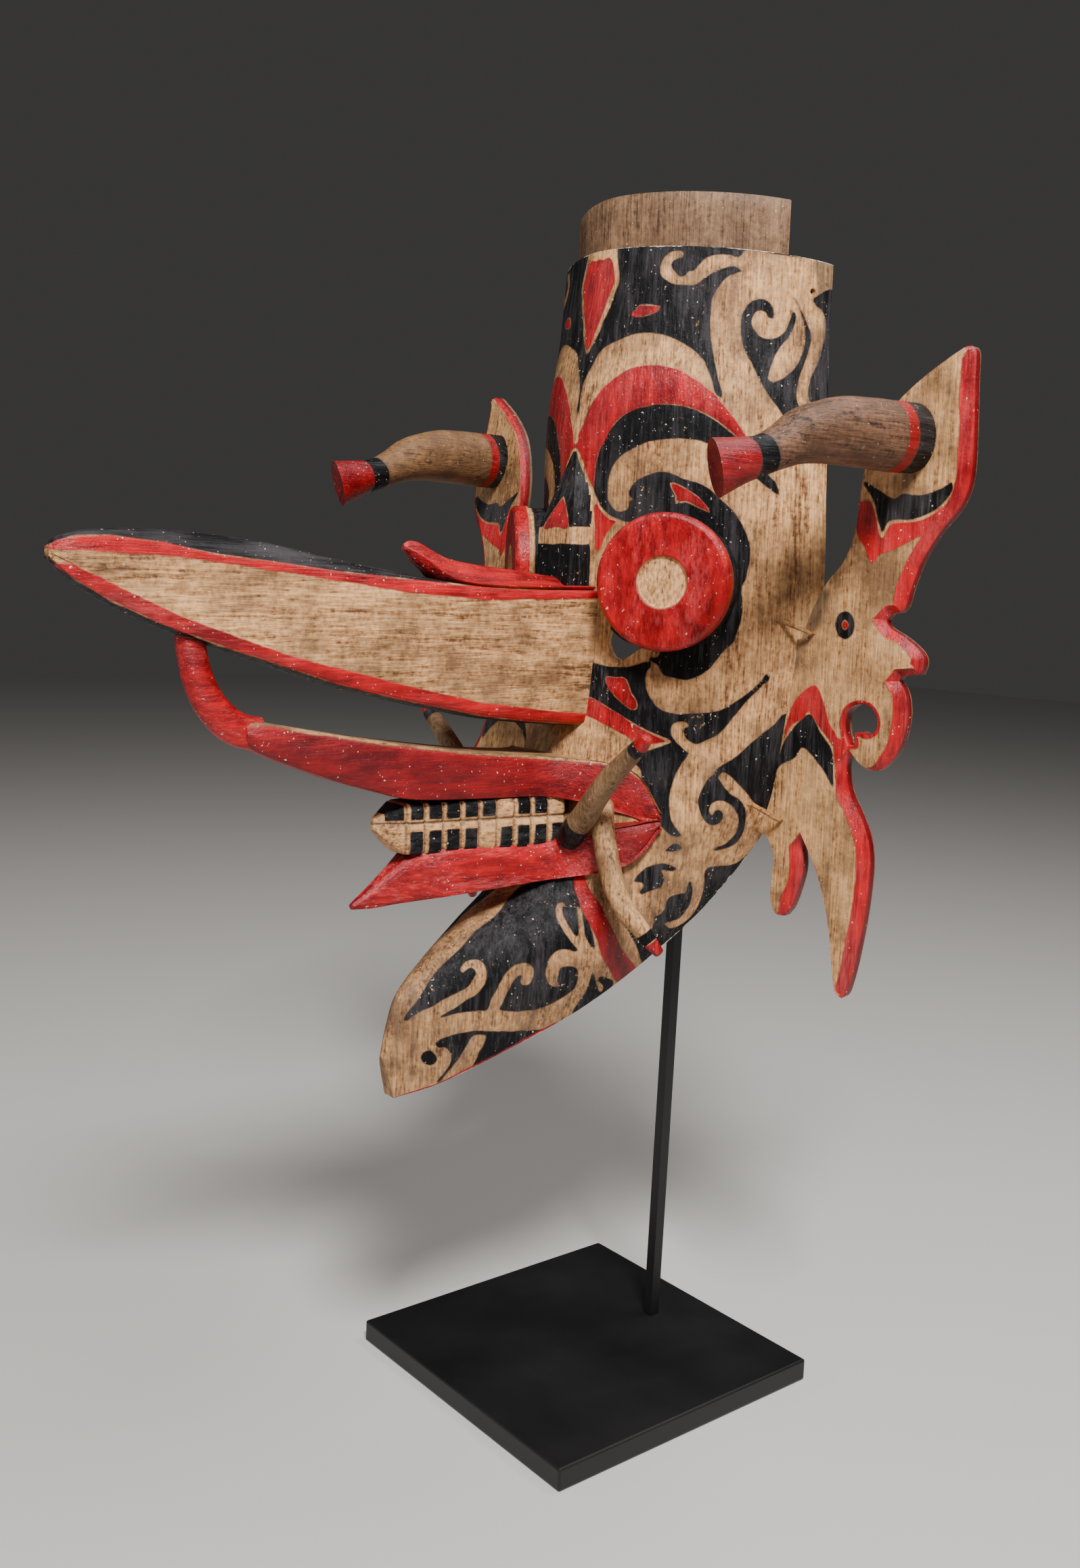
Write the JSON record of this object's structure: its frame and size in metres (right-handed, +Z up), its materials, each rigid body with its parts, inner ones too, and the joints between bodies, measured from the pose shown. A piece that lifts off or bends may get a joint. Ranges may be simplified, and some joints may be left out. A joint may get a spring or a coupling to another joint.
{
  "type": "carved wooden mask on stand",
  "caption": "Carved and painted hudoq mask with a long beak-like snout, drum eyes, horned board ears, tusks and open jaws, held up by a thin rod on a square plate.",
  "frame": {"origin": "middle of the stand plate's underside, on the surface it stands on", "axes": "+Z up; the mask looks along -Y, and its own left side is +X"},
  "size_m": [0.443, 0.483, 0.7827],
  "materials": {
    "painted_wood": "bare softwood with worn black and red paint",
    "red_wood": "worn satin red paint",
    "horn_wood": "dark oiled wood with painted bands",
    "tusk_wood": "brown wood with black ends",
    "rattan": "dry split cane",
    "black_steel": "satin black"
  },
  "bodies": {
    "root": {"mask_head": "painted_wood", "snout": "painted_wood", "nose_leaf": "red_wood", "mouth": "red_wood", "tongue_hook": "red_wood", "eye_left": "red_wood", "eye_right": "red_wood", "ear_left": "painted_wood", "ear_right": "painted_wood", "ear_horn_left": "horn_wood", "ear_horn_right": "horn_wood", "tusk_upper_left": "tusk_wood", "tusk_upper_right": "tusk_wood", "tusk_lower_left": "tusk_wood", "tusk_lower_right": "tusk_wood", "tie_upper_left": "rattan", "tie_upper_right": "rattan", "tie_lower_left": "rattan", "tie_lower_right": "rattan", "stand_base": "black_steel", "stand_rod": "black_steel"}
  },
  "joints": []
}
